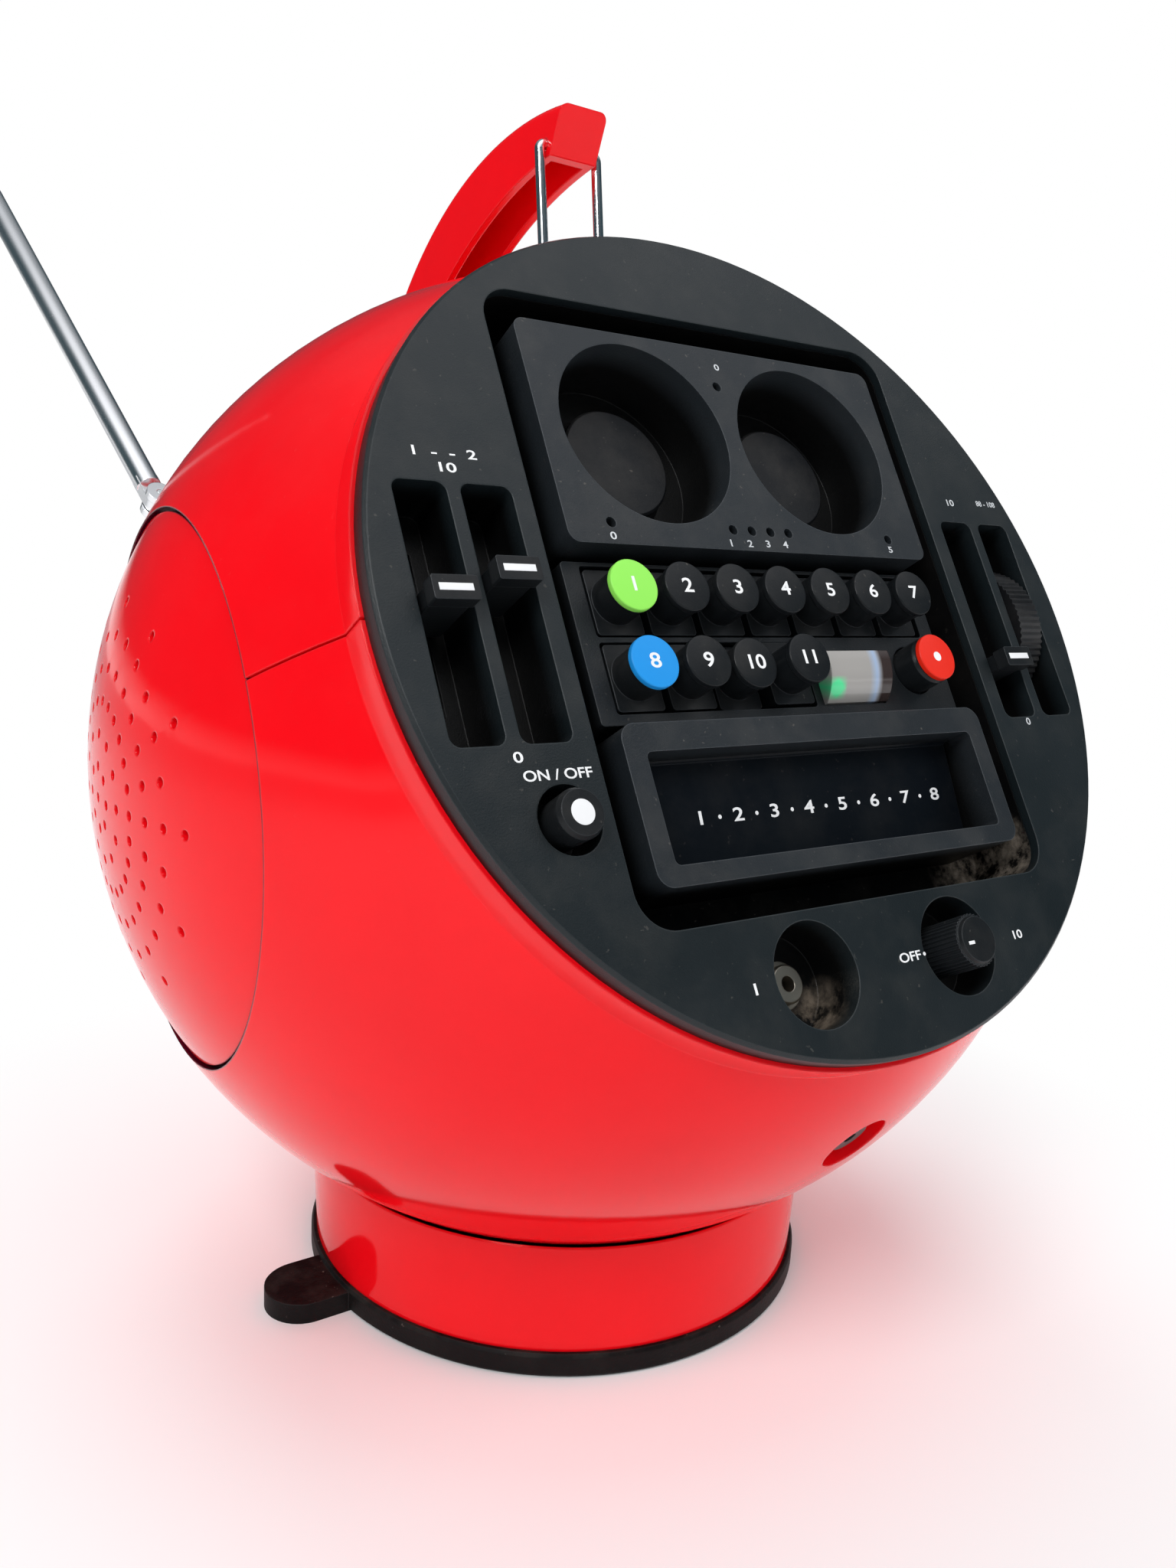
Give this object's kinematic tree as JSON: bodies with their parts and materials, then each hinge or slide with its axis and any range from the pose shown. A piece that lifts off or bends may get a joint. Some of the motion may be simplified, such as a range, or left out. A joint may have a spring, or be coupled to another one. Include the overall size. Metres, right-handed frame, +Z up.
{
  "type": "portable tape player",
  "caption": "Ball-shaped portable radio and tape player on a swivel drum base, with a tilted round control face, sprung keys, sliders, carrying handle and telescopic antenna.",
  "frame": {"origin": "middle of the foot's underside, on the surface that it stands on", "axes": "+Z up along the swivel axis; the tilted control face looks towards -Y; +X is to the right of someone facing it"},
  "size_m": [0.2962, 0.3784, 0.4003],
  "materials": {
    "red_case": "high gloss",
    "black_foot": "satin",
    "black_fascia": "satin",
    "black_key": "satin",
    "door_grey": "gloss",
    "dial_grey": "gloss",
    "lamp_red": "gloss, unlit",
    "clear_window": "clear",
    "bright_steel": "bright",
    "chrome": "polished",
    "inner_steel": "zinc plated",
    "iron": "machined",
    "speaker_black": "matt",
    "brass": "turned",
    "rubber": "matt",
    "board_green": "lacquered",
    "inner_black": "moulded"
  },
  "bodies": {
    "base": {"foot_ring": "black_foot", "base_drum": "red_case", "swivel_bolt": "bright_steel"},
    "ball": {"upper_shell": "red_case", "lower_shell": "red_case", "case_screws": "bright_steel", "fascia": "black_fascia", "well_tray": "black_fascia", "meter_panel": "black_fascia", "meter_dials": "dial_grey", "indicator_lamps": "lamp_red", "key_bezel": "black_fascia", "counter_window": "clear_window", "slot_panel": "black_fascia", "door_pin": "bright_steel", "control_pots": "inner_steel", "power_switch": "inner_steel", "mic_jack": "bright_steel", "headphone_jack": "inner_black", "speaker_cover_left": "red_case", "speaker_cover_right": "red_case", "speakers": "speaker_black", "handle_pin": "bright_steel", "antenna_mount": "bright_steel", "chassis": "inner_steel", "motor": "bright_steel", "drive_belt": "rubber", "tape_head": "inner_steel", "circuit_board": "board_green", "transformer": "iron", "battery_box": "inner_black", "battery_door": "red_case", "power_inlet": "inner_black"},
    "key_1_body": {"key_1": "black_key"},
    "key_2_body": {"key_2": "black_key"},
    "key_3_body": {"key_3": "black_key"},
    "key_4_body": {"key_4": "black_key"},
    "key_5_body": {"key_5": "black_key"},
    "key_6_body": {"key_6": "black_key"},
    "key_7_body": {"key_7": "black_key"},
    "key_8_body": {"key_8": "black_key"},
    "key_9_body": {"key_9": "black_key"},
    "key_10_body": {"key_10": "black_key"},
    "key_11_body": {"key_11": "black_key"},
    "record_key_body": {"record_key": "black_key"},
    "slot_door_body": {"slot_door": "door_grey"},
    "slider_left_body": {"slider_left": "black_key"},
    "slider_right_body": {"slider_right": "black_key"},
    "slider_tone_body": {"slider_tone": "black_key"},
    "tuning_wheel_body": {"tuning_wheel": "black_key"},
    "power_button_body": {"power_button": "black_key"},
    "level_knob_body": {"level_knob": "black_key"},
    "handle_body": {"handle": "red_case"},
    "handle_bail_body": {"handle_bail": "bright_steel"},
    "antenna_swivel_body": {"antenna_swivel": "bright_steel"},
    "antenna_tube_1_body": {"antenna_tube_1": "chrome"},
    "antenna_tube_2_body": {"antenna_tube_2": "chrome"},
    "antenna_tube_3_body": {"antenna_tube_3": "chrome"},
    "flywheel_body": {"flywheel": "iron"},
    "motor_pulley_body": {"motor_pulley": "brass"}
  },
  "joints": [
    {"name": "ball_swivel", "type": "hinge", "parent": "base", "child": "ball", "pos_m": [0, 0, 0.01], "axis": [0, 0, 1], "continuous": true},
    {"name": "key_1_press", "type": "slide", "parent": "ball", "child": "key_1_body", "axis": [0, 0.8616, -0.5075], "range_m": [0, 0.004], "stiffness_N_per_m": 200, "springref_m": -0.002},
    {"name": "key_2_press", "type": "slide", "parent": "ball", "child": "key_2_body", "axis": [0, 0.8616, -0.5075], "range_m": [0, 0.004], "stiffness_N_per_m": 200, "springref_m": -0.002},
    {"name": "key_3_press", "type": "slide", "parent": "ball", "child": "key_3_body", "axis": [0, 0.8616, -0.5075], "range_m": [0, 0.004], "stiffness_N_per_m": 200, "springref_m": -0.002},
    {"name": "key_4_press", "type": "slide", "parent": "ball", "child": "key_4_body", "axis": [0, 0.8616, -0.5075], "range_m": [0, 0.004], "stiffness_N_per_m": 200, "springref_m": -0.002},
    {"name": "key_5_press", "type": "slide", "parent": "ball", "child": "key_5_body", "axis": [0, 0.8616, -0.5075], "range_m": [0, 0.004], "stiffness_N_per_m": 200, "springref_m": -0.002},
    {"name": "key_6_press", "type": "slide", "parent": "ball", "child": "key_6_body", "axis": [0, 0.8616, -0.5075], "range_m": [0, 0.004], "stiffness_N_per_m": 200, "springref_m": -0.002},
    {"name": "key_7_press", "type": "slide", "parent": "ball", "child": "key_7_body", "axis": [0, 0.8616, -0.5075], "range_m": [0, 0.004], "stiffness_N_per_m": 200, "springref_m": -0.002},
    {"name": "key_8_press", "type": "slide", "parent": "ball", "child": "key_8_body", "axis": [0, 0.8616, -0.5075], "range_m": [0, 0.004], "stiffness_N_per_m": 200, "springref_m": -0.002},
    {"name": "key_9_press", "type": "slide", "parent": "ball", "child": "key_9_body", "axis": [0, 0.8616, -0.5075], "range_m": [0, 0.004], "stiffness_N_per_m": 200, "springref_m": -0.002},
    {"name": "key_10_press", "type": "slide", "parent": "ball", "child": "key_10_body", "axis": [0, 0.8616, -0.5075], "range_m": [0, 0.004], "stiffness_N_per_m": 200, "springref_m": -0.002},
    {"name": "key_11_press", "type": "slide", "parent": "ball", "child": "key_11_body", "axis": [0, 0.8616, -0.5075], "range_m": [0, 0.004], "stiffness_N_per_m": 200, "springref_m": -0.002},
    {"name": "record_key_press", "type": "slide", "parent": "ball", "child": "record_key_body", "axis": [0, 0.8616, -0.5075], "range_m": [0, 0.004], "stiffness_N_per_m": 200, "springref_m": -0.002},
    {"name": "slot_door_hinge", "type": "hinge", "parent": "ball", "child": "slot_door_body", "pos_m": [0, -0.09446, 0.1748], "axis": [1, 0, 0], "range_deg": [0, 80], "stiffness_Nm_per_rad": 0.01, "springref_deg": -28.65},
    {"name": "slider_left_slide", "type": "slide", "parent": "ball", "child": "slider_left_body", "axis": [0, 0.5075, 0.8616], "range_m": [-0.0182, 0.0162]},
    {"name": "slider_right_slide", "type": "slide", "parent": "ball", "child": "slider_right_body", "axis": [0, 0.5075, 0.8616], "range_m": [-0.023, 0.0114]},
    {"name": "slider_tone_slide", "type": "slide", "parent": "ball", "child": "slider_tone_body", "axis": [0, 0.5075, 0.8616], "range_m": [-0.0018, 0.0326]},
    {"name": "tuning_turn", "type": "hinge", "parent": "ball", "child": "tuning_wheel_body", "pos_m": [0.0922, -0.06996, 0.19867], "axis": [1, 0, 0], "range_deg": [-90, 90]},
    {"name": "power_press", "type": "slide", "parent": "ball", "child": "power_button_body", "axis": [0, 0.8616, -0.5075], "range_m": [0, 0.003], "stiffness_N_per_m": 300, "springref_m": -0.002},
    {"name": "level_turn", "type": "hinge", "parent": "ball", "child": "level_knob_body", "pos_m": [0.0233, -0.13026, 0.13275], "axis": [0, -0.8616, 0.5075], "range_deg": [-280, 0]},
    {"name": "handle_hinge", "type": "hinge", "parent": "ball", "child": "handle_body", "pos_m": [0, 0.126, 0.2003], "axis": [1, 0, 0], "range_deg": [0, 14]},
    {"name": "bail_hinge", "type": "hinge", "parent": "handle_body", "child": "handle_bail_body", "pos_m": [0, 0.021, 0.3338], "axis": [1, 0, 0], "range_deg": [-14, 0]},
    {"name": "antenna_turn", "type": "hinge", "parent": "ball", "child": "antenna_swivel_body", "pos_m": [-0.10849, 0.06101, 0.22629], "axis": [-0.7598, 0.4272, 0.4901], "continuous": true},
    {"name": "antenna_tilt", "type": "hinge", "parent": "antenna_swivel_body", "child": "antenna_tube_1_body", "pos_m": [-0.10849, 0.06101, 0.22629], "axis": [-0.0767, 0.6897, -0.7201], "range_deg": [-39, 35]},
    {"name": "antenna_draw_2", "type": "slide", "parent": "antenna_tube_1_body", "child": "antenna_tube_2_body", "axis": [-0.1807, 0.7006, 0.6903], "range_m": [-0.021, 0.08]},
    {"name": "antenna_draw_3", "type": "slide", "parent": "antenna_tube_2_body", "child": "antenna_tube_3_body", "axis": [-0.1807, 0.7006, 0.6903], "range_m": [-0.0857, 0.015]},
    {"name": "flywheel_turn", "type": "hinge", "parent": "ball", "child": "flywheel_body", "pos_m": [0.038, -0.02802, 0.09156], "axis": [0, 0.5075, 0.8616], "continuous": true},
    {"name": "pulley_turn", "type": "hinge", "parent": "ball", "child": "motor_pulley_body", "pos_m": [-0.034, -0.0082, 0.07989], "axis": [0, 0.5075, 0.8616], "continuous": true}
  ],
  "couplings": [
    {"joint": "bail_hinge", "follows": "handle_hinge", "ratio": -1},
    {"joint": "pulley_turn", "follows": "flywheel_turn", "ratio": 4}
  ]
}
